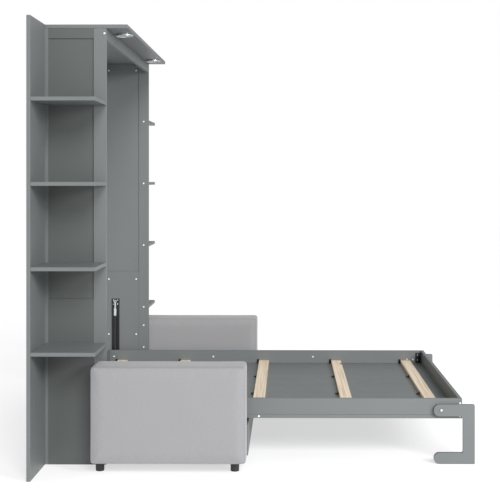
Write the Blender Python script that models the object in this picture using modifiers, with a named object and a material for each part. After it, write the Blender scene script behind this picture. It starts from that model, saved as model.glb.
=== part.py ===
"""Wall bed that folds down between two side shelf units, over a low seat.

Metres, +Z up. X runs from the wall to the foot of the bed, Y across it, and the
origin is on the floor at the middle of the whole object with the bed down.
"""

import math

import bmesh
import bpy
from mathutils import Matrix, Vector

# Boards, clearances and edges
BOARD = 0.019            # every painted board
TOUCH = 0.0003           # left between pieces that rest on each other
EASE = 0.001             # eased edge of a board

# Bed
MATTRESS_SPACE_LENGTH = 2.0515
MATTRESS_SPACE_WIDTH = 1.532
RAIL_HEIGHT = 0.083      # above the floor panels
FLOOR_PANELS = 3
PANEL_SEAM = 0.004
SLAT_WIDTH = 0.064
SLAT_THICKNESS = 0.019
SLAT_PLACES = (0.041, 0.244, 0.496, 0.7275, 0.950)   # centres, as shares of the mattress space

# Fold pivot, between the rail and the cabinet side
SIDE_GAP = 0.030         # rail to cabinet side
PIVOT_HEIGHT = 0.255
PIVOT_SETBACK = 0.026    # behind the cabinet's front edge, and above the bed's underside
HEAD_OVERHANG = 0.2415   # pivot to the head end
PIN_RADIUS = 0.008
PIN_CLEARANCE = 0.0005
FLANGE_RADIUS = 0.026
FLANGE_THICKNESS = 0.004
BRACKET_THICKNESS = 0.004
BRACKET_REACH = 0.045    # pivot to the bracket's ends and top
BRACKET_DROP = 0.022     # pivot to the bracket's lower edge
BOSS_RADIUS = 0.015
BOSS_LENGTH = 0.010
PIN_END_GAP = 0.0012      # pin to the bed rail

# Cabinet
CABINET_DEPTH = 0.332
STILE_WIDTH = 0.065
HEADER_HEIGHT = 0.0575
FOLD_CLEARANCE = 0.0072  # over the legs when the bed stands upright
CANOPY_OVERHANG = 0.1085
BACK_RAIL_HEIGHT = 0.100
BACK_RAIL_LIFT = 0.020
RECESS_DEPTH = 0.006     # shallow field in each face of each side
RECESS_BOTTOM = 0.847
RECESS_TOP_MARGIN = 0.052
RECESS_BACK_MARGIN = 0.034

# Side shelves
SHELF_UNIT_WIDTH = 0.316
SHELF_COUNT = 4
SHELF_FIRST = 0.612      # height of the lowest shelf's middle
SHELF_PITCH = 0.411

# Downlights under the canopy
LAMP_RADIUS = 0.0465
LAMP_RIM = 0.005
LAMP_CHAMFER = 0.0017
LAMP_HEIGHT = 0.010
LAMP_LENS_HEIGHT = 0.007
LAMP_FRONT_MARGIN = 0.0515
LAMP_SIDE_MARGIN = 0.238

# Swinging legs
LEG_THICKNESS = 0.019
LEG_SIDE_CLEARANCE = 0.002
LEG_PIVOT_FROM_FOOT = 0.110
LEG_PIVOT_HEIGHT = 0.274
LEG_ARM = 0.060          # width of the upper arm and of the upright
LEG_FOOT_ARM = 0.058
LEG_TOE = 0.038          # pivot to the round ends of both arms
LEG_FOOT_CLEARANCE = 0.001
LEG_TOE_RADIUS = 0.028
LEG_CORNER_RADIUS = 0.006
BOLT_RADIUS = 0.005
BOLT_CLEARANCE = 0.0005
BOLT_HEAD_RADIUS = 0.0115
BOLT_HEAD_HEIGHT = 0.005
BOLT_HEAD_RIM = 0.002
BOLT_CROWN_RADIUS = 0.007

# Gas struts
STRUT_X = 0.112          # from the wall
STRUT_TOP = 0.650
STRUT_BOTTOM = 0.275
STRUT_PLATE_WIDTH = 0.051
STRUT_PLATE_THICKNESS = 0.003
STRUT_PLATE_ABOVE = 0.017
STRUT_PLATE_BELOW = 0.350
STRUT_CENTRE_GAP = 0.0145   # rail to the strut's centre line
STUD_RADIUS = 0.004
EYE_RADIUS = 0.0095
EYE_LENGTH = 0.016
EYE_CLEARANCE = 0.0005
NECK_RADIUS = 0.0055
NECK_LENGTH = 0.045
COLLAR_RADIUS = 0.0095
FITTING_LENGTH = 0.093   # neck and collar
ROD_RADIUS = 0.005
ROD_END_LIFT = 0.025     # rod end above the lower stud
TUBE_RADIUS = 0.010
TUBE_BORE = 0.0056
TUBE_TOP_GAP = 0.003     # below the fitting
TUBE_BASE = 0.012        # below the lower stud
TUBE_FLOOR = 0.018       # blind end of the bore above the lower stud
LUG_THICKNESS = 0.003
LUG_RADIUS = 0.020
OPEN_PIVOT_GAP = 0.0005  # lower stud to its plate on the rail

# Seat under the bed
ARM_LENGTH = 0.777
ARM_WIDTH = 0.200
ARM_TOP = 0.538
ARM_BOTTOM = 0.050
ARM_LAP = 0.053          # behind the cabinet's front edge
ARM_SIDE_GAP = 0.006
ARM_EDGE = 0.020
FOOT_RADIUS = 0.024
FOOT_TAPER = 0.021
FOOT_BACK_MARGIN = 0.040
FOOT_FRONT_MARGIN = 0.062
SEAT_BACK_GAP = 0.020    # in front of the cabinet, clear of the swinging head end
SEAT_TOP = 0.205

# Lines that the sizes above give
MIRROR_SIDES = (("left", -1), ("right", 1))
PIVOT_X = CABINET_DEPTH - PIVOT_SETBACK
UNDERSIDE = PIVOT_HEIGHT - PIVOT_SETBACK
PANEL_TOP = UNDERSIDE + BOARD
RAIL_BOTTOM = PANEL_TOP + TOUCH
RAIL_TOP = PANEL_TOP + RAIL_HEIGHT
HEAD_X = PIVOT_X - HEAD_OVERHANG
FOOT_X = HEAD_X + MATTRESS_SPACE_LENGTH + 2 * BOARD
RAIL_INNER = MATTRESS_SPACE_WIDTH / 2
RAIL_OUTER = RAIL_INNER + BOARD
SIDE_INNER = RAIL_OUTER + SIDE_GAP
SIDE_OUTER = SIDE_INNER + BOARD
UNIT_OUTER = SIDE_OUTER + SHELF_UNIT_WIDTH
LEG_PIVOT_X = FOOT_X - LEG_PIVOT_FROM_FOOT
LEG_END = LEG_PIVOT_FROM_FOOT + LEG_FOOT_CLEARANCE + LEG_ARM   # from the leg's pivot
LEG_INNER = RAIL_OUTER + LEG_SIDE_CLEARANCE
LEG_OUTER = LEG_INNER + LEG_THICKNESS
OVERALL_DEPTH = LEG_PIVOT_X + LEG_END
HEADER_BOTTOM = PIVOT_HEIGHT + OVERALL_DEPTH - PIVOT_X + FOLD_CLEARANCE
CANOPY_BOTTOM = HEADER_BOTTOM + HEADER_HEIGHT
CABINET_HEIGHT = CANOPY_BOTTOM + BOARD
CANOPY_FRONT = CABINET_DEPTH + CANOPY_OVERHANG
STRUT_Y = RAIL_OUTER + STRUT_CENTRE_GAP
ARM_BACK_X = CABINET_DEPTH - ARM_LAP
ARM_FRONT_X = ARM_BACK_X + ARM_LENGTH
ARM_INNER = SIDE_OUTER + ARM_SIDE_GAP
ARM_OUTER = ARM_INNER + ARM_WIDTH
SEAT_BACK_X = CABINET_DEPTH + SEAT_BACK_GAP
WALL_X = -OVERALL_DEPTH / 2


def clear_scene():
    for item in list(bpy.data.objects):
        bpy.data.objects.remove(item, do_unlink=True)


def new_collection(name):
    group = bpy.data.collections.new(name)
    bpy.context.scene.collection.children.link(group)
    return group


clear_scene()
BED_GROUP = new_collection("wall_bed")
CUTTER_GROUP = new_collection("cutters")


def make_material(name, colour, roughness, metallic=0.0):
    material = bpy.data.materials.new(name)
    material.use_nodes = True
    shader = material.node_tree.nodes["Principled BSDF"]
    shader.inputs["Base Color"].default_value = (*colour, 1.0)
    shader.inputs["Roughness"].default_value = roughness
    shader.inputs["Metallic"].default_value = metallic
    return material


FINISHES = {
    "paint": ((0.16, 0.185, 0.188), 0.5, 0.0),
    "pine": ((0.76, 0.62, 0.44), 0.55, 0.0),
    "fabric": ((0.44, 0.44, 0.45), 0.9, 0.0),
    "black_steel": ((0.012, 0.014, 0.016), 0.4, 0.6),
    "bright_steel": ((0.62, 0.63, 0.64), 0.25, 1.0),
    "lamp_ring": ((0.55, 0.56, 0.57), 0.3, 1.0),
    "lamp_lens": ((0.62, 0.65, 0.69), 0.35, 0.0),
    "black_plastic": ((0.02, 0.02, 0.022), 0.45, 0.0),
}


def finish(thing, kind):
    """Give an object its own material of one of the finishes."""
    colour, roughness, metallic = FINISHES[kind]
    thing.data.materials.clear()
    thing.data.materials.append(make_material(thing.name, colour, roughness, metallic))


def add_object(name, mesh, group, centre=(0.0, 0.0, 0.0)):
    thing = bpy.data.objects.new(name, mesh)
    thing.location = Vector(centre)
    group.objects.link(thing)
    return thing


def box_object(name, low, high, group):
    """A box between two corners, its object placed at its middle."""
    low = Vector(low)
    high = Vector(high)
    size = high - low
    shape = bmesh.new()
    bmesh.ops.create_cube(shape, size=1.0)
    bmesh.ops.scale(shape, vec=size, verts=shape.verts)
    mesh = bpy.data.meshes.new(name)
    shape.to_mesh(mesh)
    shape.free()
    return add_object(name, mesh, group, (low + high) / 2)


def bevel(thing, width, segments=1):
    edge = thing.modifiers.new("edges", "BEVEL")
    edge.width = width
    edge.segments = segments
    edge.limit_method = "ANGLE"
    edge.angle_limit = math.radians(40)
    return edge


def cut(thing, cutter, operation="DIFFERENCE"):
    change = thing.modifiers.new(cutter.name, "BOOLEAN")
    change.operation = operation
    change.solver = "EXACT"
    change.object = cutter
    cutter.hide_render = True
    cutter.display_type = "WIRE"


def cutter_box(name, low, high):
    return box_object(name, low, high, CUTTER_GROUP)


def cylinder_object(name, centre, radius, length, group, segments=32):
    """A cylinder along Y."""
    shape = bmesh.new()
    bmesh.ops.create_cone(shape, cap_ends=True, cap_tris=False, segments=segments,
                          radius1=radius, radius2=radius, depth=length)
    bmesh.ops.rotate(shape, cent=(0, 0, 0), matrix=Matrix.Rotation(math.radians(90), 3, "X"),
                     verts=shape.verts)
    mesh = bpy.data.meshes.new(name)
    shape.to_mesh(mesh)
    shape.free()
    mesh.shade_smooth()
    mesh.set_sharp_from_angle(angle=math.radians(35))
    return add_object(name, mesh, group, centre)


def board(name, low, high, kind="paint", ease=EASE):
    """A board between two corners given as distances from the wall, middle and floor."""
    low = (WALL_X + low[0], low[1], low[2])
    high = (WALL_X + high[0], high[1], high[2])
    thing = box_object(name, low, high, BED_GROUP)
    if ease:
        bevel(thing, ease)
    finish(thing, kind)
    return thing


def turned(name, profile, centre, kind, steps=32, turn=None):
    """Turn a profile of (radius, height) points, run down its outer side, about Z."""
    mesh = bpy.data.meshes.new(name)
    points = [(radius, 0.0, height) for radius, height in profile]
    edges = [(i, i + 1) for i in range(len(points) - 1)]
    if profile[0][0] > 0:
        edges.append((len(points) - 1, 0))
    mesh.from_pydata(points, edges, [])
    thing = add_object(name, mesh, BED_GROUP, centre)
    if turn:
        thing.rotation_euler = turn
    screw = thing.modifiers.new("turn", "SCREW")
    screw.angle = math.tau
    screw.steps = steps
    screw.render_steps = steps
    screw.use_merge_vertices = True
    screw.merge_threshold = 0.00005
    screw.use_smooth_shade = False
    finish(thing, kind)
    return thing


def hold_under(parent, things):
    """Parent things to an empty and leave them where they are."""
    bpy.context.view_layer.update()
    for thing in things:
        thing.parent = parent
        thing.matrix_parent_inverse = parent.matrix_world.inverted()


def pivot_empty(name, place):
    empty = bpy.data.objects.new(name, None)
    empty.location = (WALL_X + place[0], place[1], place[2])
    BED_GROUP.objects.link(empty)
    return empty


def span(side, inner, outer):
    """Y limits, low first, of something between two distances from the middle."""
    return (inner, outer) if side > 0 else (-outer, -inner)


def cabinet_sides():
    side_depth = CABINET_DEPTH - STILE_WIDTH
    for label, side in MIRROR_SIDES:
        low, high = span(side, SIDE_INNER, SIDE_OUTER)
        panel = board(f"side_panel_{label}", (0, low, 0), (side_depth - TOUCH, high, CANOPY_BOTTOM - TOUCH))
        faces = (("outer", SIDE_OUTER - RECESS_DEPTH, SIDE_OUTER + BOARD),
                 ("inner", SIDE_INNER - BOARD, SIDE_INNER + RECESS_DEPTH))
        for face, start, stop in faces:
            low_cut, high_cut = span(side, start, stop)
            recess = cutter_box(f"recess_{face}_{label}",
                                (WALL_X + RECESS_BACK_MARGIN, low_cut, RECESS_BOTTOM),
                                (WALL_X + CABINET_DEPTH, high_cut, CANOPY_BOTTOM - RECESS_TOP_MARGIN))
            cut(panel, recess)
        board(f"stile_{label}", (side_depth, low, 0), (CABINET_DEPTH, high, CANOPY_BOTTOM - TOUCH))


def cabinet_top():
    board("canopy_board", (0, -SIDE_OUTER, CANOPY_BOTTOM), (CANOPY_FRONT, SIDE_OUTER, CABINET_HEIGHT))
    reach = SIDE_INNER - TOUCH
    board("header_rail", (CABINET_DEPTH - BOARD, -reach, HEADER_BOTTOM),
          (CABINET_DEPTH, reach, CANOPY_BOTTOM - TOUCH))
    board("back_rail_top", (0, -reach, CANOPY_BOTTOM - TOUCH - BACK_RAIL_HEIGHT),
          (BOARD, reach, CANOPY_BOTTOM - TOUCH))
    board("back_rail_bottom", (0, -reach, BACK_RAIL_LIFT),
          (BOARD, reach, BACK_RAIL_LIFT + BACK_RAIL_HEIGHT))


def side_shelves():
    front_of_recess = CABINET_DEPTH - STILE_WIDTH
    for label, side in MIRROR_SIDES:
        low, high = span(side, SIDE_OUTER + TOUCH, UNIT_OUTER)
        board(f"shelf_back_{label}", (0, low, 0), (BOARD, high, CABINET_HEIGHT))
        for number in range(SHELF_COUNT):
            middle = SHELF_FIRST + number * SHELF_PITCH
            bottom = middle - BOARD / 2
            top = middle + BOARD / 2
            in_recess = bottom > RECESS_BOTTOM
            inner = SIDE_OUTER + TOUCH - (RECESS_DEPTH if in_recess else 0)
            low, high = span(side, inner, UNIT_OUTER)
            shelf = board(f"shelf_{label}_{number + 1}", (BOARD + TOUCH, low, bottom),
                          (CABINET_DEPTH, high, top))
            if not in_recess:
                continue
            low_cut, high_cut = span(side, SIDE_INNER, SIDE_OUTER + TOUCH)
            notches = (("front", front_of_recess - TOUCH, CABINET_DEPTH + BOARD),
                       ("back", 0.0, RECESS_BACK_MARGIN + TOUCH))
            for end, start, stop in notches:
                notch = cutter_box(f"notch_{end}_{label}_{number + 1}",
                                   (WALL_X + start, low_cut, bottom - BOARD),
                                   (WALL_X + stop, high_cut, top + BOARD))
                cut(shelf, notch)


def downlights():
    lens_radius = LAMP_RADIUS - LAMP_RIM
    for label, side in MIRROR_SIDES:
        centre = (WALL_X + CANOPY_FRONT - LAMP_FRONT_MARGIN, side * (SIDE_OUTER - LAMP_SIDE_MARGIN),
                  CANOPY_BOTTOM - TOUCH)
        ring = ((lens_radius, 0), (LAMP_RADIUS, 0), (LAMP_RADIUS, LAMP_CHAMFER - LAMP_HEIGHT),
                (LAMP_RADIUS - LAMP_CHAMFER, -LAMP_HEIGHT), (lens_radius, -LAMP_HEIGHT))
        turned(f"lamp_ring_{label}", ring, centre, "lamp_ring", 48)
        edge = lens_radius - TOUCH
        lens = ((0, 0), (edge, 0), (edge, -LAMP_LENS_HEIGHT), (0, -LAMP_LENS_HEIGHT))
        turned(f"lamp_lens_{label}", lens, centre, "lamp_lens", 48)


def seat():
    deck_bottom = SEAT_TOP - BOARD
    reach = ARM_INNER - TOUCH
    board("seat_front_rail", (ARM_FRONT_X - BOARD, -reach, ARM_BOTTOM), (ARM_FRONT_X, reach, SEAT_TOP))
    board("seat_back_rail", (SEAT_BACK_X, -reach, ARM_BOTTOM),
          (SEAT_BACK_X + BOARD, reach, deck_bottom - TOUCH))
    board("seat_deck", (SEAT_BACK_X, -reach, deck_bottom),
          (ARM_FRONT_X - BOARD - TOUCH, reach, SEAT_TOP))
    for label, side in MIRROR_SIDES:
        low, high = span(side, ARM_INNER, ARM_OUTER)
        arm = board(f"seat_arm_{label}", (ARM_BACK_X, low, ARM_BOTTOM),
                    (ARM_FRONT_X, high, ARM_TOP), "fabric", 0)
        bevel(arm, ARM_EDGE, 3)
        height = ARM_BOTTOM - TOUCH
        places = (("back", ARM_BACK_X + FOOT_BACK_MARGIN), ("front", ARM_FRONT_X - FOOT_FRONT_MARGIN))
        for end, place in places:
            profile = ((0, height), (FOOT_RADIUS, height), (FOOT_TAPER, 0), (0, 0))
            turned(f"foot_{label}_{end}", profile, (WALL_X + place, side * (ARM_INNER + ARM_WIDTH / 2), 0),
                   "black_plastic")


def bed_platform():
    """Floor panels, rails and slats, in one list."""
    pieces = []
    width = (2 * RAIL_OUTER - (FLOOR_PANELS - 1) * PANEL_SEAM) / FLOOR_PANELS
    for number in range(FLOOR_PANELS):
        low = -RAIL_OUTER + number * (width + PANEL_SEAM)
        pieces.append(board(f"floor_panel_{number + 1}", (HEAD_X, low, UNDERSIDE),
                            (FOOT_X, low + width, PANEL_TOP)))
    for label, side in MIRROR_SIDES:
        low, high = span(side, RAIL_INNER, RAIL_OUTER)
        rail = board(f"bed_rail_{label}", (HEAD_X, low, RAIL_BOTTOM), (FOOT_X, high, RAIL_TOP))
        bore = cylinder_object(f"bolt_bore_{label}",
                               (WALL_X + LEG_PIVOT_X, side * (RAIL_INNER + BOARD / 2), LEG_PIVOT_HEIGHT),
                               BOLT_RADIUS + BOLT_CLEARANCE, 2 * BOARD, CUTTER_GROUP)
        cut(rail, bore)
        pieces.append(rail)
    reach = RAIL_INNER - TOUCH
    for label, start in (("head_rail", HEAD_X), ("foot_rail", FOOT_X - BOARD)):
        pieces.append(board(label, (start, -reach, RAIL_BOTTOM), (start + BOARD, reach, RAIL_TOP)))
    for number, share in enumerate(SLAT_PLACES):
        middle = HEAD_X + BOARD + share * MATTRESS_SPACE_LENGTH
        pieces.append(board(f"slat_{number + 1}", (middle - SLAT_WIDTH / 2, -reach, RAIL_BOTTOM),
                            (middle + SLAT_WIDTH / 2, reach, RAIL_BOTTOM + SLAT_THICKNESS), "pine"))
    return pieces


def pivot_hardware():
    """Flanged pins on the cabinet, and the bossed brackets on the bed that turn on them."""
    brackets = []
    for label, side in MIRROR_SIDES:
        plate_low, plate_high = span(side, RAIL_OUTER + TOUCH, RAIL_OUTER + TOUCH + BRACKET_THICKNESS)
        bracket = board(f"pivot_bracket_{label}",
                        (PIVOT_X - BRACKET_REACH, plate_low, PIVOT_HEIGHT - BRACKET_DROP),
                        (PIVOT_X + BRACKET_REACH, plate_high, PIVOT_HEIGHT + BRACKET_REACH),
                        "black_steel", 0)
        boss_middle = RAIL_OUTER + TOUCH + (BRACKET_THICKNESS + BOSS_LENGTH) / 2
        centre = (WALL_X + PIVOT_X, side * boss_middle, PIVOT_HEIGHT)
        boss = cylinder_object(f"boss_{label}", centre, BOSS_RADIUS,
                               BRACKET_THICKNESS + BOSS_LENGTH, CUTTER_GROUP)
        cut(bracket, boss, "UNION")
        bore = cylinder_object(f"pin_bore_{label}", centre, PIN_RADIUS + PIN_CLEARANCE,
                               2 * SIDE_GAP, CUTTER_GROUP)
        cut(bracket, bore)
        brackets.append(bracket)
        length = SIDE_GAP - PIN_END_GAP
        profile = ((0, length), (PIN_RADIUS, length), (PIN_RADIUS, FLANGE_THICKNESS),
                   (FLANGE_RADIUS, FLANGE_THICKNESS), (FLANGE_RADIUS, 0), (0, 0))
        turned(f"pivot_pin_{label}", profile, (WALL_X + PIVOT_X, side * (SIDE_INNER - TOUCH), PIVOT_HEIGHT),
               "bright_steel", 32, (side * math.radians(90), 0, 0))
    return brackets


def corner_arc(before, corner, after, radius, steps=5):
    """Points of a fillet between two straight edges that meet at corner."""
    to_before = (before - corner).normalized()
    to_after = (after - corner).normalized()
    half = to_before.angle(to_after) / 2
    reach = radius / math.tan(half)
    centre = corner + (to_before + to_after).normalized() * radius / math.sin(half)
    start = corner + to_before * reach - centre
    stop = corner + to_after * reach - centre
    sweep = start.angle_signed(stop)
    points = []
    for step in range(steps + 1):
        angle = -sweep * step / steps
        points.append(centre + Matrix.Rotation(angle, 2) @ start)
    return points


def leg_outline():
    """C outline of a leg in the XZ plane, with its pivot at the origin."""
    arm = LEG_ARM / 2
    inner = LEG_END - LEG_ARM
    ground = -LEG_PIVOT_HEIGHT
    toe = LEG_TOE_RADIUS
    corner = LEG_CORNER_RADIUS
    corners = ((-LEG_TOE, arm, toe), (-LEG_TOE, -arm, toe), (inner, -arm, corner),
               (inner, ground + LEG_FOOT_ARM, corner), (-LEG_TOE, ground + LEG_FOOT_ARM, toe),
               (-LEG_TOE, ground, toe), (LEG_END, ground, corner), (LEG_END, arm, corner))
    points = []
    for index, (x, z, radius) in enumerate(corners):
        before = Vector(corners[index - 1][:2])
        after = Vector(corners[(index + 1) % len(corners)][:2])
        points += corner_arc(before, Vector((x, z)), after, radius)
    return points


def flat_piece(name, outlines, thickness, centre, kind):
    """A filled 2D curve in the XZ plane, given its thickness along Y and made a mesh."""
    curve = bpy.data.curves.new(name, "CURVE")
    curve.dimensions = "2D"
    curve.fill_mode = "BOTH"
    curve.extrude = thickness / 2
    for outline in outlines:
        spline = curve.splines.new("POLY")
        spline.points.add(len(outline) - 1)
        spline.use_cyclic_u = True
        for point, (x, y) in zip(spline.points, outline):
            point.co = (x, y, 0.0, 1.0)
    guide = bpy.data.objects.new(name + "_outline", curve)
    BED_GROUP.objects.link(guide)
    bpy.context.view_layer.update()
    depsgraph = bpy.context.evaluated_depsgraph_get()
    mesh = bpy.data.meshes.new_from_object(guide.evaluated_get(depsgraph))
    bpy.data.objects.remove(guide, do_unlink=True)
    shape = bmesh.new()
    shape.from_mesh(mesh)
    bmesh.ops.remove_doubles(shape, verts=shape.verts, dist=0.00002)
    upright = Matrix.Rotation(math.radians(90), 3, "X")
    bmesh.ops.rotate(shape, cent=(0, 0, 0), matrix=upright, verts=shape.verts)
    bmesh.ops.recalc_face_normals(shape, faces=shape.faces)
    shape.to_mesh(mesh)
    shape.free()
    mesh.name = name
    thing = add_object(name, mesh, BED_GROUP, centre)
    finish(thing, kind)
    return thing


def circle_points(radius, count=32):
    return [Vector((radius * math.cos(math.tau * i / count), radius * math.sin(math.tau * i / count)))
            for i in range(count)]


def legs(bed_empty):
    outlines = (leg_outline(), circle_points(BOLT_RADIUS + BOLT_CLEARANCE))
    for label, side in MIRROR_SIDES:
        middle = side * (LEG_INNER + LEG_OUTER) / 2
        leg = flat_piece(f"leg_{label}", outlines, LEG_THICKNESS,
                         (WALL_X + LEG_PIVOT_X, middle, LEG_PIVOT_HEIGHT), "paint")
        empty = pivot_empty(f"leg_pivot_{label}", (LEG_PIVOT_X, middle, LEG_PIVOT_HEIGHT))
        hold_under(empty, [leg])
        head = LEG_OUTER + TOUCH
        reach = head - RAIL_INNER
        profile = ((0, BOLT_HEAD_HEIGHT), (BOLT_CROWN_RADIUS, BOLT_HEAD_HEIGHT),
                   (BOLT_HEAD_RADIUS, BOLT_HEAD_RIM), (BOLT_HEAD_RADIUS, 0),
                   (BOLT_RADIUS, 0), (BOLT_RADIUS, -reach), (0, -reach))
        bolt = turned(f"leg_bolt_{label}", profile, (WALL_X + LEG_PIVOT_X, side * head, LEG_PIVOT_HEIGHT),
                      "bright_steel", 32, (-side * math.radians(90), 0, 0))
        hold_under(bed_empty, [empty, bolt])


def gas_struts(bed_empty):
    """Plate with its stud on the cabinet, rod that hangs from it, and tube that slides on the rod."""
    plate_face = SIDE_INNER - TOUCH - STRUT_PLATE_THICKNESS
    lug_face = RAIL_OUTER + TOUCH + LUG_THICKNESS
    for label, side in MIRROR_SIDES:
        low, high = span(side, plate_face, SIDE_INNER - TOUCH)
        plate = board(f"strut_plate_{label}",
                      (STRUT_X - STRUT_PLATE_WIDTH / 2, low, STRUT_TOP - STRUT_PLATE_BELOW),
                      (STRUT_X + STRUT_PLATE_WIDTH / 2, high, STRUT_TOP + STRUT_PLATE_ABOVE),
                      "black_steel", 0)
        stud_start = STRUT_Y - EYE_LENGTH / 2 - EYE_CLEARANCE
        stud_end = SIDE_INNER - TOUCH
        stud_middle = (WALL_X + STRUT_X, side * (stud_start + stud_end) / 2, STRUT_TOP)
        stud = cylinder_object(f"stud_{label}", stud_middle, STUD_RADIUS,
                               stud_end - stud_start, CUTTER_GROUP)
        cut(plate, stud, "UNION")

        top = (WALL_X + STRUT_X, side * STRUT_Y, STRUT_TOP)
        rod_end = -(STRUT_TOP - STRUT_BOTTOM - ROD_END_LIFT)
        rod_profile = ((0, 0), (NECK_RADIUS, 0), (NECK_RADIUS, -NECK_LENGTH), (COLLAR_RADIUS, -NECK_LENGTH),
                       (COLLAR_RADIUS, -FITTING_LENGTH), (ROD_RADIUS, -FITTING_LENGTH),
                       (ROD_RADIUS, rod_end), (0, rod_end))
        rod = turned(f"strut_rod_{label}", rod_profile, top, "bright_steel")
        eye = cylinder_object(f"eye_{label}", top, EYE_RADIUS + TOUCH, EYE_LENGTH, CUTTER_GROUP)
        cut(rod, eye, "UNION")
        eye_bore = cylinder_object(f"eye_bore_{label}", top, STUD_RADIUS + EYE_CLEARANCE,
                                   2 * SIDE_GAP, CUTTER_GROUP)
        cut(rod, eye_bore)
        rod_empty = pivot_empty(f"strut_pivot_{label}", (STRUT_X, side * STRUT_Y, STRUT_TOP))
        hold_under(rod_empty, [rod])

        tube_top = STRUT_TOP - FITTING_LENGTH - TUBE_TOP_GAP - STRUT_BOTTOM
        tube_profile = ((0, TUBE_FLOOR), (TUBE_BORE, TUBE_FLOOR), (TUBE_BORE, tube_top),
                        (TUBE_RADIUS, tube_top), (TUBE_RADIUS, -TUBE_BASE), (0, -TUBE_BASE))
        base = (WALL_X + STRUT_X, side * STRUT_Y, STRUT_BOTTOM)
        tube = turned(f"strut_tube_{label}", tube_profile, base, "black_steel")
        tip = lug_face + OPEN_PIVOT_GAP
        stub_middle = (base[0], side * (tip + STRUT_Y) / 2, STRUT_BOTTOM)
        stub = cylinder_object(f"stub_{label}", stub_middle, STUD_RADIUS, STRUT_Y - tip, CUTTER_GROUP)
        cut(tube, stub, "UNION")
        hold_under(rod_empty, [tube])

        lug = cylinder_object(f"strut_lug_{label}",
                              (base[0], side * (lug_face - LUG_THICKNESS / 2), STRUT_BOTTOM),
                              LUG_RADIUS, LUG_THICKNESS, BED_GROUP)
        finish(lug, "black_steel")
        hold_under(bed_empty, [lug])


def main():
    cabinet_sides()
    cabinet_top()
    side_shelves()
    downlights()
    seat()
    bed_pieces = bed_platform()
    bed_pieces += pivot_hardware()
    bed_empty = pivot_empty("bed_pivot", (PIVOT_X, 0.0, PIVOT_HEIGHT))
    hold_under(bed_empty, bed_pieces)
    legs(bed_empty)
    gas_struts(bed_empty)


main()
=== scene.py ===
import math

import bmesh
import bpy
from mathutils import Matrix, Vector, noise
from mathutils.bvhtree import BVHTree


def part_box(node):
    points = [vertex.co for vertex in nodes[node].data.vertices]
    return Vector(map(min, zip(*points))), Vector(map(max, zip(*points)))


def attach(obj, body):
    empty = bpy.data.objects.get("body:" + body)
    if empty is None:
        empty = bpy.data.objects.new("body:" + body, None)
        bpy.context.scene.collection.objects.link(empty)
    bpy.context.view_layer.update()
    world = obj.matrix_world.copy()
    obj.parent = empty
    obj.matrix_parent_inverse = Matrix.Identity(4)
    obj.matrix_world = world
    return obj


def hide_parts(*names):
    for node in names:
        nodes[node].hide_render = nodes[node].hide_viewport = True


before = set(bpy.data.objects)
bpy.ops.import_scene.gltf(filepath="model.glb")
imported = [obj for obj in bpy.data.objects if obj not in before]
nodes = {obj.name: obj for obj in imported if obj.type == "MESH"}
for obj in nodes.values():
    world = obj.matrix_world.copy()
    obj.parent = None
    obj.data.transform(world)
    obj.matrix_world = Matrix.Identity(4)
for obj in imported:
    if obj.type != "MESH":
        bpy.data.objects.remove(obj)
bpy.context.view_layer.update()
mm = 0.001
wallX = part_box("shelf_back_left")[0].x      # the wall that the cabinet stands against
sides = (("left", -1), ("right", 1))        # left is at -Y
scene = bpy.context.scene
print("frame loaded:", len(nodes), "solids")


# Materials. Object coordinates are metres, so a pattern's scale is one over its real size.
# A gloss or a share is a pair: what a noise's 0 and 1 are turned into.

def hexColour(code):
    parts = [int(code[i:i + 2], 16) / 255 for i in (1, 3, 5)]
    linear = [c / 12.92 if c <= 0.04045 else ((c + 0.055) / 1.055) ** 2.4 for c in parts]
    return (*linear, 1.0)


def addNode(material, kind, inputs=None, **settings):
    node = material.node_tree.nodes.new("ShaderNode" + kind)
    for name, value in settings.items():
        setattr(node, name, value)
    for name, value in (inputs or {}).items():
        if isinstance(value, bpy.types.NodeSocket):
            material.node_tree.links.new(value, node.inputs[name])
        else:
            node.inputs[name].default_value = value
    return node


def newMaterial(name, **sockets):
    material = bpy.data.materials.new(name)
    material.use_nodes = True
    shader = material.node_tree.nodes["Principled BSDF"]
    for socket, value in sockets.items():
        shader.inputs[socket.replace("_", " ")].default_value = value
    return material, shader


def surface(material, shader, colour=None, roughness=None, bump=None, depth=0.1 * mm):
    link = material.node_tree.links.new
    if colour:
        link(colour, shader.inputs["Base Color"])
    if roughness:
        link(roughness, shader.inputs["Roughness"])
    if bump:
        made = addNode(material, "Bump", {"Height": bump, "Distance": depth, "Strength": 1.0})
        link(made.outputs["Normal"], shader.inputs["Normal"])


paint = {
    "colour": "#6b6f6f", "shade": "#646868",   # blue-grey, with the slight drift of a rolled coat
    "roller": 9 * mm,       # stipple is nearer 2 mm on the board, drawn coarser so that it shows
    "drift": 350 * mm, "rub": 90 * mm,
    "stippleDepth": 0.12 * mm, "gloss": (0.40, 0.52),
    "side": "#525655",      # painted shade: the outer face of each side is painted darker than its stile, standing in for the shade that falls on it
}


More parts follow.
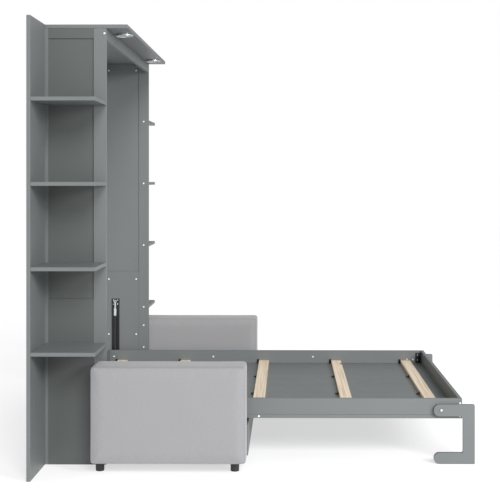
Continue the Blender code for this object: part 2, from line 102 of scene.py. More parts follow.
def satinPaint(name="satin_lacquered_board", paintedShadeBox=None):
    # MDF boards with a rolled satin lacquer: soft wide highlights and a faint stipple
    m, shader = newMaterial(name, IOR=1.5)
    place = addNode(m, "TexCoord").outputs["Object"]
    drift = addNode(m, "TexNoise", {"Vector": place, "Scale": 1 / paint["drift"], "Detail": 3.0})
    rub = addNode(m, "TexNoise", {"Vector": place, "Scale": 1 / paint["rub"], "Detail": 4.0})
    stipple = addNode(m, "TexNoise", {"Vector": place, "Scale": 1 / paint["roller"], "Detail": 2.0})
    colour = addNode(m, "Mix", {
        0: drift.outputs[0], 6: hexColour(paint["colour"]), 7: hexColour(paint["shade"])},
        data_type="RGBA").outputs[2]
    if paintedShadeBox:         # painted shade box: its low and high corners, with y measured outwards both ways
        split = addNode(m, "SeparateXYZ", {"Vector": place}).outputs
        depth = addNode(m, "Math", {0: split["Y"]}, operation="ABSOLUTE").outputs[0]
        inPaintedShade = 1.0
        for value, low, high in zip((split["X"], depth, split["Z"]), *paintedShadeBox):
            above = addNode(m, "Math", {0: value, 1: low}, operation="GREATER_THAN").outputs[0]
            below = addNode(m, "Math", {0: value, 1: high}, operation="LESS_THAN").outputs[0]
            both = addNode(m, "Math", {0: above, 1: below}, operation="MULTIPLY").outputs[0]
            inPaintedShade = addNode(m, "Math", {0: both, 1: inPaintedShade}, operation="MULTIPLY").outputs[0]
        # painted shade: inside the box the paint turns to the darker side tone
        colour = addNode(m, "Mix", {0: inPaintedShade, 6: colour, 7: hexColour(paint["side"])},
                         data_type="RGBA").outputs[2]
    low, high = paint["gloss"]
    gloss = addNode(m, "MapRange", {"Value": rub.outputs[0], "To Min": low, "To Max": high}).outputs[0]
    surface(m, shader, colour, gloss, stipple.outputs[0], paint["stippleDepth"])
    return m


wood = {
    "pale": "#e3d6c3", "dark": "#c7ae8c", "knot": "#8f6744",
    "ring": 7 * mm, "run": 600 * mm,           # growth rings across and along a slat
    "pore": 1.6 * mm, "poreRun": 40 * mm,
    "knotSpacing": 300 * mm, "knotSize": 0.035, "knotStretch": 0.5,
    "contrast": (0.4, 0.68),                   # the grain's values that are all pale and all dark
    "gloss": (0.55, 0.72), "poreDepth": 0.15 * mm,
}


def planedPine():
    # planed pine: long pale grain with darker late wood, a few small knots, dry and matt
    m, shader = newMaterial("planed_pine", IOR=1.5)
    place = addNode(m, "TexCoord").outputs["Object"]
    across = 1 / wood["ring"]
    grainPlace = addNode(m, "Mapping", {"Vector": place, "Scale": (across, 1 / wood["run"], across)})
    grain = addNode(m, "TexNoise", {
        "Vector": grainPlace.outputs[0], "Scale": 1.0, "Detail": 4.0, "Distortion": 0.6})
    fine = 1 / wood["pore"]
    porePlace = addNode(m, "Mapping", {"Vector": place, "Scale": (fine, 1 / wood["poreRun"], fine)})
    pores = addNode(m, "TexNoise", {"Vector": porePlace.outputs[0], "Scale": 1.0, "Detail": 2.0})
    knotPlace = addNode(m, "Mapping", {"Vector": place, "Scale": (1.0, wood["knotStretch"], 1.0)})
    knots = addNode(m, "TexVoronoi", {
        "Vector": knotPlace.outputs[0], "Scale": 1 / wood["knotSpacing"], "Randomness": 1.0})
    isKnot = addNode(m, "MapRange", {
        "Value": knots.outputs["Distance"], "From Min": wood["knotSize"],
        "From Max": wood["knotSize"] * 2, "To Min": 1.0, "To Max": 0.0})
    paleEnd, darkEnd = wood["contrast"]
    contrast = addNode(m, "MapRange", {
        "Value": grain.outputs[0], "From Min": paleEnd, "From Max": darkEnd})
    colour = addNode(m, "Mix", {
        0: contrast.outputs[0], 6: hexColour(wood["pale"]), 7: hexColour(wood["dark"])},
        data_type="RGBA").outputs[2]
    knotted = addNode(m, "Mix", {0: isKnot.outputs[0], 6: colour, 7: hexColour(wood["knot"])},
                      data_type="RGBA").outputs[2]
    low, high = wood["gloss"]
    gloss = addNode(m, "MapRange", {"Value": pores.outputs[0], "To Min": low, "To Max": high}).outputs[0]
    surface(m, shader, knotted, gloss, pores.outputs[0], wood["poreDepth"])
    return m


cloth = {
    "thread": "#969697", "shade": "#818183", "fleck": "#aaaaab",
    "spacing": 3.2 * mm,      # a linen-look weave at about 1.1 mm, drawn coarser so that it shows
    "cloud": 160 * mm, "depth": 0.25 * mm,
    "slubStretch": 0.15, "fleckShare": (-0.2, 0.5), "cloudShare": (0.0, 0.25),
}


def wovenCloth():
    # woven polyester linen: crossed threads with slubs, matt with a little fuzz at grazing light
    m, shader = newMaterial("woven_linen_look", Roughness=0.92, Sheen_Weight=0.25, IOR=1.45)
    uv = addNode(m, "UVMap", uv_map="weave").outputs["UV"]
    perThread = math.tau / 20 / cloth["spacing"]     # a wave texture turns 20 radians a unit
    threads = [addNode(m, "TexWave", {
        "Vector": uv, "Scale": perThread, "Distortion": 1.2, "Detail": 2.0, "Detail Scale": 0.4},
        bands_direction=axis).outputs["Fac"] for axis in ("X", "Y")]
    weave = addNode(m, "Math", {0: threads[0], 1: threads[1]}, operation="MULTIPLY").outputs[0]
    slubPlace = addNode(m, "Mapping", {"Vector": uv, "Scale": (cloth["slubStretch"], 1.0, 1.0)})
    slub = addNode(m, "TexNoise", {
        "Vector": slubPlace.outputs[0], "Scale": 2 / cloth["spacing"], "Detail": 2.0})
    cloud = addNode(m, "TexNoise", {"Vector": uv, "Scale": 1 / cloth["cloud"], "Detail": 3.0})
    shares = []
    for pattern, (low, high) in ((slub, cloth["fleckShare"]), (cloud, cloth["cloudShare"])):
        shares.append(addNode(m, "MapRange", {
            "Value": pattern.outputs[0], "To Min": low, "To Max": high}).outputs[0])
    colour = hexColour(cloth["shade"])
    for share, over in zip((weave, *shares), ("thread", "fleck", "shade")):
        colour = addNode(m, "Mix", {0: share, 6: colour, 7: hexColour(cloth[over])},
                         data_type="RGBA").outputs[2]
    surface(m, shader, colour, bump=weave, depth=cloth["depth"])
    return m


def grainedFinish(name, size, detail, colours, gloss, depth, **sockets):
    # two close tones mixed by a fine noise, which also drives the gloss and the bump
    m, shader = newMaterial(name, **sockets)
    place = addNode(m, "TexCoord").outputs["Object"]
    grain = addNode(m, "TexNoise", {"Vector": place, "Scale": 1 / size, "Detail": detail}).outputs[0]
    first, second = [hexColour(code) for code in colours]
    colour = addNode(m, "Mix", {0: grain, 6: first, 7: second}, data_type="RGBA").outputs[2]
    low, high = gloss
    shine = addNode(m, "MapRange", {"Value": grain, "To Min": low, "To Max": high}).outputs[0]
    surface(m, shader, colour, shine, grain, depth)
    return m


finishes = {
    "painted_board": satinPaint(),
    "pine": planedPine(),
    "upholstery": wovenCloth(),
    # black powder coat on steel: fine orange peel and a low even sheen
    "black_steel": grainedFinish(
        "black_powder_coat", 2.5 * mm, 2.0, ("#121416", "#1c1f22"), (0.35, 0.5), 0.05 * mm, IOR=1.5),
    # bright zinc plate on steel: pale metal with a faintly mottled polish
    "bright_steel": grainedFinish(
        "zinc_plated_steel", 4 * mm, 3.0, ("#d7dcdd", "#eef1f2"), (0.28, 0.42), 0.02 * mm,
        Metallic=1.0),
    # satin aluminium, turned: pale metal with the fine marks left by the tool
    "lamp_ring": grainedFinish(
        "turned_satin_aluminium", 1.5 * mm, 2.0, ("#c8cccf", "#dfe2e4"), (0.25, 0.38), 0.03 * mm,
        Metallic=1.0),
    # opal acrylic over the lamp, unlit: milky and softly glossy
    "lamp_lens": grainedFinish(
        "opal_acrylic", 25 * mm, 2.0, ("#a9aeb4", "#b8bcc2"), (0.5, 0.6), 0.02 * mm, IOR=1.49),
    # black polypropylene: fine moulded grain, half matt
    "black_plastic": grainedFinish(
        "moulded_black_polypropylene", 1.8 * mm, 3.0, ("#1d1f21", "#2c2e30"), (0.42, 0.58), 0.06 * mm,
        IOR=1.49),
}
# white nylon screw heads and caps, glossy from the mould
nylon = grainedFinish(
    "moulded_white_nylon", 30 * mm, 2.0, ("#e9ecec", "#d9dddd"), (0.3, 0.4), 0.02 * mm, IOR=1.53)

# the painted shade on each side panel's outer face starts past a border at the wall edge
paintedShadeField = {"border": 34.5 * mm, "halfDepth": 9.5 * mm, "past": 1 * mm}
panelLow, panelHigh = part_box("side_panel_right")
paintedShadeLow = (panelLow.x + paintedShadeField["border"], panelHigh.y - paintedShadeField["halfDepth"], panelLow.z - paintedShadeField["past"])
paintedShadeHigh = panelHigh + Vector((paintedShadeField["past"],) * 3)
# painted shade: the side panels get a copy of the paint, darker on their outer faces
panelPaintWithShade = satinPaint("satin_lacquered_side_painted_shade", (paintedShadeLow, paintedShadeHigh))
for node in nodes.values():
    for place in node.material_slots:
        place.material = finishes[place.material.name]
for side, sign in sides:
    nodes[f"side_panel_{side}"].material_slots[0].material = panelPaintWithShade
print("materials made")


# Camera, floor and lights

view = {
    "fromWall": 1.2593, "y": -6.253, "height": 1.4423, "turn": 0.0102,
    "lens": 76.55, "sensor": 36.0, "shift": (-0.0542, -0.1357),
}
studio = {
    "floor": "#b6b6b6", "floorSize": 60.0, "floorRoughness": 0.9, "floorGlow": 0.58,
    "sky": "#ffffff", "skyLight": 0.52, "backdrop": 1.0,
    "key": (0.35, -1.0, 0.62), "keyStrength": 2.1, "keyAngle": 24.0,   # towards the light
    "fill": {"place": (4.4, -5.0, 3.0), "aim": (0.5, 0.0, 0.6), "size": 1.6, "watts": 250.0},
}


def makeCamera():
    data = bpy.data.cameras.new("camera")
    data.sensor_width = view["sensor"]
    data.lens = view["lens"]
    data.shift_x, data.shift_y = view["shift"]
    camera = bpy.data.objects.new("camera", data)
    camera.location = (wallX + view["fromWall"], view["y"], view["height"])
    camera.rotation_euler = (math.pi / 2, 0, view["turn"])
    scene.collection.objects.link(camera)
    scene.camera = camera


def makeFloor():
    bm = bmesh.new()
    bmesh.ops.create_grid(bm, x_segments=1, y_segments=1, size=studio["floorSize"] / 2)
    floor = bpy.data.objects.new("studio_floor", bpy.data.meshes.new("studio_floor"))
    bm.to_mesh(floor.data)
    bm.free()
    scene.collection.objects.link(floor)
    floor.data.materials.append(newMaterial(
        "pale_paper", Base_Color=hexColour(studio["floor"]), Roughness=studio["floorRoughness"],
        Emission_Color=hexColour(studio["sky"]), Emission_Strength=studio["floorGlow"])[0])


def makeSky():
    world = bpy.data.worlds.new("studio")
    world.use_nodes = True
    sky = world.node_tree.nodes["Background"]
    sky.inputs["Color"].default_value = hexColour(studio["sky"])
    # the camera sees a white backdrop, and the object is lit by a softer sky
    seen = addNode(world, "LightPath").outputs["Is Camera Ray"]
    strength = addNode(world, "MapRange", {
        "Value": seen, "To Min": studio["skyLight"], "To Max": studio["backdrop"]})
    world.node_tree.links.new(strength.outputs[0], sky.inputs["Strength"])
    scene.world = world


def makeLights():
    data = bpy.data.lights.new("key", "SUN")
    data.energy = studio["keyStrength"]
    data.angle = math.radians(studio["keyAngle"])
    light = bpy.data.objects.new("key", data)
    light.rotation_euler = (-Vector(studio["key"])).to_track_quat("-Z", "Y").to_euler()
    scene.collection.objects.link(light)
    fill = studio["fill"]
    data = bpy.data.lights.new("fill", "AREA")
    data.size = fill["size"]
    data.energy = fill["watts"]
    light = bpy.data.objects.new("fill", data)
    light.location = fill["place"]
    aim = Vector(fill["aim"]) - light.location
    light.rotation_euler = aim.to_track_quat("-Z", "Y").to_euler()
    scene.collection.objects.link(light)


makeCamera()
makeFloor()
makeSky()
makeLights()
scene.view_settings.view_transform = "Standard"
print("camera and studio made")


# What repeats when a piece is made

under = 0.3 * mm        # how far a fixing's back lies below the face that it sits on
weld = 0.01 * mm


def joined(bm, part, centre=(0, 0, 0), direction=(0, 0, 1)):
    # adds part to bm, its own Z turned to direction and its origin at centre
    turn = Vector((0, 0, 1)).rotation_difference(Vector(direction)).to_matrix().to_4x4()
    part.transform(Matrix.Translation(centre) @ turn)
    mesh = bpy.data.meshes.new("part")
    part.to_mesh(mesh)
    part.free()
    bm.from_mesh(mesh)
    bpy.data.meshes.remove(mesh)


def turned(points, steps=32, ring=False):
    # a profile of (radius, height) points spun about Z; a ring's profile closes on itself
    bm = bmesh.new()
    verts = [bm.verts.new((radius, 0, height)) for radius, height in points]
    pairs = list(zip(verts, verts[1:] + verts[:1])) if ring else list(zip(verts, verts[1:]))
    edges = [bm.edges.new(pair) for pair in pairs]
    bmesh.ops.spin(bm, geom=verts + edges, cent=(0, 0, 0), axis=(0, 0, 1), angle=math.tau,
                   steps=steps, use_merge=True)
    bmesh.ops.remove_doubles(bm, verts=bm.verts, dist=weld)
    bmesh.ops.recalc_face_normals(bm, faces=bm.faces)
    return bm


def boxed(low, high, edge=0.0, segments=2):
    bm = bmesh.new()
    bmesh.ops.create_cube(bm, size=1.0)
    low, high = Vector(low), Vector(high)
    bmesh.ops.scale(bm, vec=high - low, verts=bm.verts)
    bmesh.ops.translate(bm, vec=(low + high) / 2, verts=bm.verts)
    if edge:
        bmesh.ops.bevel(bm, geom=bm.edges, offset=edge, segments=segments, profile=0.5,
                        affect="EDGES", material=-1)
    return bm


def newPiece(name, bm, slot, body, replaced=(), material=None, smoothAngle=35):
    mesh = bpy.data.meshes.new(name)
    bm.to_mesh(mesh)
    bm.free()
    mesh.shade_smooth()
    mesh.set_sharp_from_angle(angle=math.radians(smoothAngle))
    mesh.materials.append(material or finishes[slot])
    piece = bpy.data.objects.new(name, mesh)
    scene.collection.objects.link(piece)
    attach(piece, body)
    if replaced:
        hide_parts(*replaced)
    return piece


def middle(node):
    low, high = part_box(node)
    return (low + high) / 2


def arc(centre, radius, start, end, steps=6):
    # points on an arc, its angles in degrees
    turns = [math.radians(start + (end - start) * i / steps) for i in range(steps + 1)]
    return [(centre[0] + radius * math.cos(t), centre[1] + radius * math.sin(t)) for t in turns]


# Lamps under the canopy: a turned trim ring round a low opal dome

lamp = {
    "ringWall": 4 * mm, "round": 2.5 * mm, "lip": 0.5 * mm, "lipRise": 0.8 * mm, "steps": 64,
    "gap": 0.4 * mm, "dome": 2.5 * mm, "domeRaised": 3 * mm,
}


def makeLamp(side):
    low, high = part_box(f"lamp_ring_{side}")
    centre = Vector(((low.x + high.x) / 2, (low.y + high.y) / 2, high.z))
    outer = (high.x - low.x) / 2
    depth = high.z - low.z
    inner = outer - lamp["ringWall"]
    rounding = lamp["round"]
    profile = [(inner, 0), (outer, 0)]
    profile += arc((outer - rounding, rounding - depth), rounding, 0, -90)
    profile += [(inner + lamp["lip"], -depth), (inner, lamp["lipRise"] - depth)]
    bm = bmesh.new()
    joined(bm, turned(profile, lamp["steps"], ring=True), centre)
    newPiece(f"lamp_trim_{side}", bm, "lamp_ring", "cabinet", [f"lamp_ring_{side}"])
    lensRadius = inner - lamp["gap"]
    rim = lamp["domeRaised"] - depth
    crown = [(lensRadius * math.sin(math.radians(a)), rim - lamp["dome"] * math.cos(math.radians(a)))
             for a in range(0, 91, 10)]
    bm = bmesh.new()
    joined(bm, turned(crown + [(lensRadius, -under), (0, -under)], lamp["steps"]), centre)
    newPiece(f"lamp_dome_{side}", bm, "lamp_lens", "cabinet", [f"lamp_lens_{side}"])


for side, sign in sides:
    makeLamp(side)
print("lamps made")


# Feet under the arms: tapered, with a collar at the top and a shallow groove above the sole

foot = {
    "taper": 0.875, "round": 2 * mm, "sole": 6 * mm, "steps": 48,
    "groove": 1.2 * mm, "grooveLow": 0.6 * mm, "grooveHigh": 1.8 * mm, "grooveTop": 2.4 * mm,
    "collar": 4 * mm, "collarStep": 1 * mm,
}


def makeFoot(node):
    low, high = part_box(node)
    top, wide = high.z, (high.x - low.x) / 2
    narrow = wide * foot["taper"]

    def radiusAt(height):
        return narrow + (wide - narrow) * height / top

    rounding, sole, step = foot["round"], foot["sole"], foot["collarStep"]
    neck = radiusAt(sole)
    neckTop = top - foot["collar"] - step
    profile = [(0, 0), (narrow - rounding, 0)]
    profile += arc((narrow - rounding, rounding), rounding, -90, 0)
    profile += [(neck, sole), (neck - foot["groove"], sole + foot["grooveLow"]),
                (neck - foot["groove"], sole + foot["grooveHigh"]), (neck, sole + foot["grooveTop"]),
                (radiusAt(neckTop) - step, neckTop), (wide, top - foot["collar"]), (wide, top), (0, top)]
    bm = bmesh.new()
    joined(bm, turned(profile, foot["steps"]), (middle(node).x, middle(node).y, 0))
    newPiece(node.replace("foot_", "turned_foot_"), bm, "black_plastic", "cabinet", [node])


for side, sign in sides:
    for end in ("back", "front"):
        makeFoot(f"foot_{side}_{end}")
print("feet made")


# Screws: domed heads with a cross recess, on the faces where the boards are fixed together

screw = {
    "radius": 5.2 * mm, "rise": 2.2 * mm, "recess": 1.3 * mm, "steps": 16,
    # shares of the head's radius: its rings, how far round its dome goes, and the cross
    "rings": (0, 0.28, 0.55, 0.8, 1.0), "roundness": 0.9, "slot": 0.05, "slotReach": 0.6,
}


def screwHead(radius=screw["radius"]):
    rise = screw["rise"] * radius / screw["radius"]
    profile = [(radius * share, rise * math.sqrt(1 - (share * screw["roundness"]) ** 2))
               for share in screw["rings"]]
    bm = turned(profile + [(radius, -under), (0, -under)], screw["steps"])
    for v in bm.verts:
        onCross = min(abs(v.co.x), abs(v.co.y)) < screw["slot"] * radius
        inReach = math.hypot(v.co.x, v.co.y) < screw["slotReach"] * radius
        if v.co.z > 0 and onCross and inReach:
            v.co.z -= screw["recess"]          # the cross is pressed into the middle rings
    return bm


def makeScrews(name, body, spots, material=nylon, slot="bright_steel", radius=screw["radius"]):
    bm = bmesh.new()
    for centre, direction in spots:
        joined(bm, screwHead(radius), centre, direction)
    newPiece(name, bm, slot, body, material=material, smoothAngle=50)


cabinetFix = {
    "panelFromWall": (0.067, 0.249), "panelHeights": (0.431, 0.797, 2.185),
    "stileFromWall": 0.299, "stileHeights": (0.345, 0.49), "headerHeight": 2.2026,
}
bedFix = {
    "first": 0.109, "pitch": 0.6575, "count": 3, "height": 0.290,      # inside the rails
    "fromEnd": 0.0205 / 2, "endHeights": (0.268, 0.3065),              # outside, at the rail ends
    "footScrew": 0.071, "footHeight": 0.272,                           # by the foot brackets
}


def cabinetScrews():
    for side, sign in sides:
        low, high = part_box(f"stile_{side}")
        inner, outer = (high.y, low.y) if sign < 0 else (low.y, high.y)
        spots = [((wallX + x, inner, z), (0, -sign, 0))
                 for x in cabinetFix["panelFromWall"] for z in cabinetFix["panelHeights"]]
        shelves = [middle(f"shelf_{side}_{n}").z for n in range(1, 5)]
        spots += [((wallX + cabinetFix["stileFromWall"], inner, z), (0, -sign, 0))
                  for z in (*cabinetFix["stileHeights"], *shelves)]
        spots += [((middle("header_rail").x, outer, cabinetFix["headerHeight"]), (0, sign, 0))]
        makeScrews(f"cabinet_screws_{side}", "cabinet", spots)


def bedScrews():
    headEnd, footEnd = [corner.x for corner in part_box("bed_rail_left")]
    panels = middle("floor_panel_1").z
    for side, sign in sides:
        low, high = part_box(f"bed_rail_{side}")
        inner, outer = (high.y, low.y) if sign < 0 else (low.y, high.y)
        spots = [((wallX + bedFix["first"] + bedFix["pitch"] * n, inner, bedFix["height"]),
                  (0, -sign, 0)) for n in range(bedFix["count"])]
        spots += [((footEnd - bedFix["footScrew"], inner, bedFix["footHeight"]), (0, -sign, 0))]
        ends = (headEnd + bedFix["fromEnd"], footEnd - bedFix["fromEnd"])
        spots += [((x, outer, z), (0, sign, 0)) for x in ends for z in bedFix["endHeights"]]
        spots += [((x, outer, panels), (0, sign, 0)) for x in (*ends, (headEnd + footEnd) / 2)]
        makeScrews(f"bed_screws_{side}", "bed_platform", spots)


cabinetScrews()
bedScrews()
print("screws made")


# Leg pivots: a domed bolt with a round socket, over a washer painted with the leg

legBolt = {
    "shank": 4.9 * mm, "dome": 6.5 * mm, "washer": 1.6 * mm, "rim": 0.5 * mm, "gap": 0.1 * mm,
    "domeAngles": (20, 40, 60), "steps": 36, "washerSteps": 40,
    "socket": 2.6 * mm, "socketAngle": 66, "socketDepth": 1.6 * mm,
}


def makeLegBolt(side, sign):
    low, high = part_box(f"leg_bolt_{side}")
    legFace = max(abs(v.y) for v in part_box(f"leg_{side}"))
    inner = min(abs(low.y), abs(high.y))
    top = high.y - low.y
    wide = (high.x - low.x) / 2
    base = (low.x + wide, sign * inner, (low.z + high.z) / 2)
    seat = legFace - inner + legBolt["gap"]
    washerTop = seat + legBolt["washer"]
    shank, dome, rim = legBolt["shank"], legBolt["dome"], legBolt["rim"]
    washer = [(shank + rim, seat), (wide, seat), (wide, washerTop - rim), (wide - rim, washerTop),
              (shank + rim, washerTop)]
    bm = bmesh.new()
    joined(bm, turned(washer, legBolt["washerSteps"], ring=True), base, (0, sign, 0))
    newPiece(f"leg_washer_{side}", bm, "painted_board", "bed_platform")
    head = washerTop + legBolt["gap"]

    def domeHeight(angle):
        return head + (top - head) * math.sin(math.radians(angle))

    profile = [(0, 0), (shank, 0), (shank, head), (dome, head)]
    profile += [(dome * math.cos(math.radians(a)), domeHeight(a)) for a in legBolt["domeAngles"]]
    socket = legBolt["socket"]
    crown = domeHeight(legBolt["socketAngle"])
    bottom = crown - legBolt["socketDepth"]
    profile += [(socket, crown), (socket, bottom), (0, bottom)]
    bm = bmesh.new()
    joined(bm, turned(profile, legBolt["steps"]), base, (0, sign, 0))
    newPiece(f"leg_pivot_bolt_{side}", bm, "bright_steel", "bed_platform", [f"leg_bolt_{side}"])


for side, sign in sides:
    makeLegBolt(side, sign)
print("leg bolts made")


# Gas struts: screws through the plate, a circlip on the stud and a guide cap on the tube

strut = {
    "screwRadius": 3.4 * mm, "screwInset": 12 * mm, "screwRows": (9 * mm, 36 * mm), "plate": 3.3 * mm,
    "eyeRadius": 9.5 * mm, "axisOut": 14.5 * mm, "rodRadius": 5 * mm, "rodGap": 0.4 * mm,
    "clipOuter": 7 * mm, "clipInner": 4.3 * mm, "clipThickness": 1.2 * mm, "clipSteps": 32,
}
tubeCap = {
    "height": 9 * mm, "proud": 0.8 * mm, "above": 1.5 * mm, "slope": 2 * mm, "lip": 0.5 * mm,
    "lipWidth": 1 * mm, "tubeGap": 0.1 * mm, "skirt": 0.8 * mm, "seat": 0.2 * mm, "steps": 40,
}


def makePlateScrews(side, sign):
    low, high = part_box(f"strut_plate_{side}")
    # the plate's own stud reaches into the eye, so its face is taken from the stile
    panelInner = min(abs(v.y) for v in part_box(f"stile_{side}"))
    plateFace = sign * (panelInner - strut["plate"])
    spots = [((x, plateFace, high.z - row), (0, -sign, 0))
             for x in (low.x + strut["screwInset"], high.x - strut["screwInset"])
             for row in strut["screwRows"]]
    makeScrews(f"strut_plate_screws_{side}", "cabinet", spots, radius=strut["screwRadius"])


def makeCirclip(side, sign):
    low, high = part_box(f"strut_rod_{side}")
    inner, outer, thick = strut["clipInner"], strut["clipOuter"], strut["clipThickness"]
    eyeFace = high.y if sign < 0 else low.y
    eyeTop = high.z - strut["eyeRadius"]
    outline = [(inner, 0), (outer, 0), (outer, thick), (inner, thick)]
    place = ((low.x + high.x) / 2, eyeFace, eyeTop)
    bm = bmesh.new()
    joined(bm, turned(outline, strut["clipSteps"], ring=True), place, (0, -sign, 0))
    newPiece(f"strut_circlip_{side}", bm, "bright_steel", f"strut_rod_{side}")


def makeTubeCap(side, sign):
    body = f"strut_tube_{side}"
    low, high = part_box(body)
    wide = (high.x - low.x) / 2
    inner = strut["rodRadius"] + strut["rodGap"]
    outer, slope = wide + tubeCap["proud"], tubeCap["slope"]
    up = tubeCap["above"]
    down = up - tubeCap["height"]
    skirt = wide + tubeCap["tubeGap"]
    cap = [(inner, tubeCap["seat"]), (inner, up - tubeCap["lip"]), (inner + tubeCap["lipWidth"], up),
           (outer - slope, up), (outer, up - slope), (outer, down), (skirt, down - tubeCap["skirt"]),
           (skirt, tubeCap["seat"])]
    railOuter = max(abs(v.y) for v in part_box(f"bed_rail_{side}"))
    place = ((low.x + high.x) / 2, sign * (railOuter + strut["axisOut"]), high.z)
    bm = bmesh.new()
    joined(bm, turned(cap, tubeCap["steps"], ring=True), place)
    newPiece(f"strut_cap_{side}", bm, "black_plastic", body)


for side, sign in sides:
    makePlateScrews(side, sign)
    makeCirclip(side, sign)
    makeTubeCap(side, sign)
print("strut trim made")


# Slat clips at the panel seams and the rails, and angle brackets in the bed's foot corners; the clips
# sit just left of each slat, and their black is also painted shade for the shadow each slat casts to its
# left

clip = {
    "seamSize": (18 * mm, 13 * mm, 8 * mm), "railSize": (13 * mm, 22 * mm, 27 * mm),
    "wing": 5 * mm, "wingRise": 1.6, "edge": 1.5 * mm, "gap": 0.4 * mm, "lift": 0.2 * mm,
    "web": 3 * mm, "screw": 2.6 * mm, "screwAlong": 0.6,
}
angle = {
    "leg": 36 * mm, "height": 64 * mm, "thickness": 2.5 * mm, "edge": 0.8 * mm, "gap": 0.3 * mm,
    "lift": 6 * mm, "screw": 3.4 * mm, "screwAlong": 0.6, "screwHeights": (16 * mm, 48 * mm),
}


def makeSlatClipsAndShade():
    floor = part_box("floor_panel_1")[1].z + clip["lift"]
    seams = [(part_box(f"floor_panel_{n}")[1].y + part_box(f"floor_panel_{n + 1}")[0].y) / 2
             for n in (1, 2)]
    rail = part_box("bed_rail_right")[0].y - clip["gap"]
    edge, web = clip["edge"], clip["web"]
    bm = bmesh.new()
    heads = []
    for n in range(1, 6):
        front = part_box(f"slat_{n}")[0].x - clip["gap"]
        long, wide, tall = clip["seamSize"]
        back, wingTop = front - long, floor + tall * clip["wingRise"]
        for y in seams:
            joined(bm, boxed((back, y - wide / 2, floor), (front, y + wide / 2, floor + tall), edge))
            joined(bm, boxed((front - clip["wing"], y - wide, floor), (front, y + wide, wingTop), edge))
            heads.append(((front - long * clip["screwAlong"], y, floor + tall), (0, 0, 1)))
        long, wide, tall = clip["railSize"]
        for sign in (-1, 1):
            near, far = sorted((sign * rail, sign * (rail - wide)))
            face = sorted((sign * rail, sign * (rail - web)))
            joined(bm, boxed((front - long, near, floor), (front, far, floor + web), edge / 2))
            joined(bm, boxed((front - web, near, floor), (front, far, floor + tall), edge / 2))
            joined(bm, boxed((front - long, face[0], floor), (front, face[1], floor + tall), edge / 2))
    # painted shade: the clips' black stands where each slat's shadow falls, as well as being the clips
    newPiece("slat_clips_and_shade", bm, "black_plastic", "bed_platform")
    makeScrews("slat_clip_screws", "bed_platform", heads, finishes["black_steel"], "black_steel",
               clip["screw"])


def makeAngleBrackets():
    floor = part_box("floor_panel_1")[1].z + angle["lift"]
    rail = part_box("bed_rail_right")[0].y - angle["gap"]
    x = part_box("foot_rail")[0].x - angle["gap"]
    bm = bmesh.new()
    heads = []
    reach, thick, tall = angle["leg"], angle["thickness"], angle["height"]
    along = reach * angle["screwAlong"]
    for sign in (-1, 1):
        corner = Vector((x, sign * rail, floor))
        byRail = (x - reach, sign * (rail - thick), floor + tall)
        byFoot = (x - thick, sign * (rail - reach), floor + tall)
        for other in (byRail, byFoot):
            low = [min(a, b) for a, b in zip(corner, other)]
            high = [max(a, b) for a, b in zip(corner, other)]
            joined(bm, boxed(low, high, angle["edge"]))
        for height in angle["screwHeights"]:
            heads.append(((x - along, sign * (rail - thick), floor + height), (0, -sign, 0)))
            heads.append(((x - thick, sign * (rail - along), floor + height), (-1, 0, 0)))
    newPiece("corner_brackets", bm, "black_steel", "bed_platform")
    makeScrews("corner_bracket_screws", "bed_platform", heads, finishes["bright_steel"],
               "bright_steel", angle["screw"])


makeSlatClipsAndShade()
makeAngleBrackets()
print("slat clips and corner brackets made")


# Padded arms: woven cloth pulled over foam, swollen by a cloth simulation, with a welt round each side

arm = {
    "inset": 2.5 * mm, "corner": 15 * mm, "segments": 4, "voxel": 12 * mm, "quickVoxel": 20 * mm,
    "quality": 3, "pressure": 4.0, "frames": 20, "cap": 7.5 * mm, "pullIn": 2 * mm, "fill": 0.9,
    "ripple": 0.7 * mm, "rippleSize": 150 * mm, "baseKept": 25 * mm,
}
weltCord = {
    "radius": 2.0 * mm, "sink": 0.8, "inset": 6 * mm, "corner": 16 * mm, "cornerSteps": 8,
    "step": 12 * mm, "resolution": 2,
}


def evaluatedMesh(piece):
    shown = piece.evaluated_get(bpy.context.evaluated_depsgraph_get())
    return bpy.data.meshes.new_from_object(shown)


def swollen(piece):
    # pressure swells the pad, each point moves no further than the cap, and the base stays flat
    start = [v.co.copy() for v in piece.data.vertices]
    press = piece.modifiers.new("swell", "CLOTH")
    press.settings.quality = arm["quality"]
    press.settings.use_pressure = True
    press.settings.uniform_pressure_force = arm["pressure"]
    press.settings.effector_weights.gravity = 0
    press.point_cache.frame_start = 1
    press.point_cache.frame_end = arm["frames"]
    for step in range(1, arm["frames"] + 1):
        scene.frame_set(step)
    shown = evaluatedMesh(piece)
    base = min(co.z for co in start)
    for v, was, now in zip(piece.data.vertices, start, shown.vertices):
        move = now.co - was
        limit = arm["cap"] if move.dot(v.normal) > 0 else arm["pullIn"]
        if move.length > limit:
            move = move.normalized() * limit
        move *= min(1.0, (was.z - base) / arm["baseKept"])
        v.co = was + move
    piece.modifiers.remove(press)
    bpy.data.meshes.remove(shown)
    scene.frame_set(1)


def boxWeave(mesh):
    # the weave lies square on each face of the arm: a UV map in metres, by the way the face looks
    layer = mesh.uv_layers.new(name="weave")
    for face in mesh.polygons:
        facing = [abs(c) for c in face.normal]
        axis = facing.index(max(facing))
        u, w = [(1, 2), (0, 2), (0, 1)][axis]
        for loop in face.loop_indices:
            co = mesh.vertices[mesh.loops[loop].vertex_index].co
            layer.data[loop].uv = (co[u], co[w])


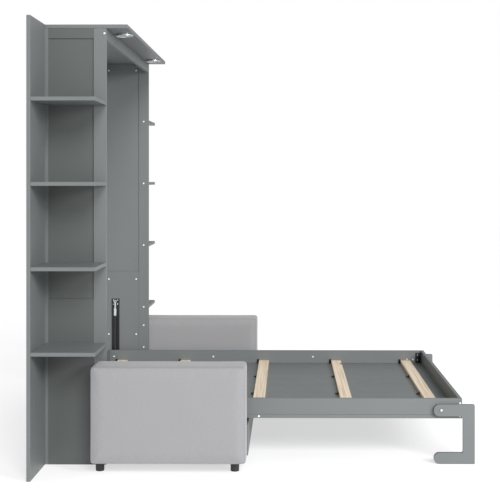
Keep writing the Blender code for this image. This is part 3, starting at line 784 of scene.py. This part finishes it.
def makeArmPad(side):
    low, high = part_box(f"seat_arm_{side}")
    inset = Vector((arm["inset"],) * 3)
    bm = boxed(low + inset, high - inset, arm["corner"], arm["segments"])
    pad = newPiece(f"arm_pad_{side}", bm, "upholstery", "cabinet", [f"seat_arm_{side}"])
    remesh = pad.modifiers.new("even_mesh", "REMESH")
    remesh.mode = "VOXEL"
    remesh.voxel_size = arm["voxel"]
    dense = evaluatedMesh(pad)
    pad.modifiers.remove(remesh)
    pad.data = dense
    swollen(pad)
    smooth = pad.modifiers.new("fine", "SUBSURF")
    smooth.levels = smooth.render_levels = 1
    fine = evaluatedMesh(pad)
    pad.modifiers.remove(smooth)
    pad.data = fine
    for v in fine.vertices:
        lift = noise.noise(v.co / arm["rippleSize"]) * arm["ripple"]
        v.co += v.normal * lift * min(1.0, (v.co.z - low.z) / arm["baseKept"])
    fine.shade_smooth()
    boxWeave(fine)
    fine.materials.clear()
    fine.materials.append(finishes["upholstery"])
    return pad


def mirrorPiece(piece, name, replaced=()):
    bm = bmesh.new()
    bm.from_mesh(piece.data)
    bmesh.ops.scale(bm, vec=(1, -1, 1), verts=bm.verts)
    bmesh.ops.recalc_face_normals(bm, faces=bm.faces)
    return newPiece(name, bm, "upholstery", "cabinet", replaced, smoothAngle=180)


def makeWelt(side, pad):
    # a narrow cord in the same cloth, sewn in where the side panels meet the band
    low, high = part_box(f"seat_arm_{side}")
    tree = BVHTree.FromPolygons([v.co for v in pad.data.vertices],
                                [p.vertices for p in pad.data.polygons])
    inset, turn, radius = weltCord["inset"], weltCord["corner"], weltCord["radius"]
    left, right = low.x + inset, high.x - inset
    bottom, top = low.z + inset, high.z - inset
    loop = []
    for x, z, start in ((right, bottom, -90), (right, top, 0), (left, top, 90), (left, bottom, 180)):
        cx = x - turn if x == right else x + turn
        cz = z + turn if z == bottom else z - turn
        loop += arc((cx, cz), turn, start, start + 90, weltCord["cornerSteps"])
    curve = bpy.data.curves.new("welt", "CURVE")
    curve.dimensions = "3D"
    curve.bevel_depth = radius
    curve.bevel_resolution = weltCord["resolution"]
    for face in (low.y, high.y):
        points = []
        for (x, z), (nextX, nextZ) in zip(loop, loop[1:] + loop[:1]):
            steps = max(1, round(math.hypot(nextX - x, nextZ - z) / weltCord["step"]))
            for i in range(steps):
                at = Vector((x + (nextX - x) * i / steps, face, z + (nextZ - z) * i / steps))
                hit, normal, _, _ = tree.find_nearest(at)
                points.append(hit - normal * radius * (1 - weltCord["sink"]))
        spline = curve.splines.new("POLY")
        spline.points.add(len(points) - 1)
        for point, co in zip(spline.points, points):
            point.co = (*co, 1)
        spline.use_cyclic_u = True
    cord = bpy.data.objects.new("welt", curve)
    scene.collection.objects.link(cord)
    mesh = evaluatedMesh(cord)
    bpy.data.objects.remove(cord)
    bm = bmesh.new()
    bm.from_mesh(mesh)
    bmesh.ops.remove_doubles(bm, verts=bm.verts, dist=weld)
    bmesh.ops.recalc_face_normals(bm, faces=bm.faces)
    welt = newPiece(f"arm_welt_{side}", bm, "upholstery", "cabinet", smoothAngle=180)
    boxWeave(welt.data)
    return welt


leftPad = makeArmPad("left")
rightPad = mirrorPiece(leftPad, "arm_pad_right", ["seat_arm_right"])
leftWelt = makeWelt("left", leftPad)
rightWelt = mirrorPiece(leftWelt, "arm_welt_right")
print("padded arms made:", len(leftPad.data.polygons), "faces each")
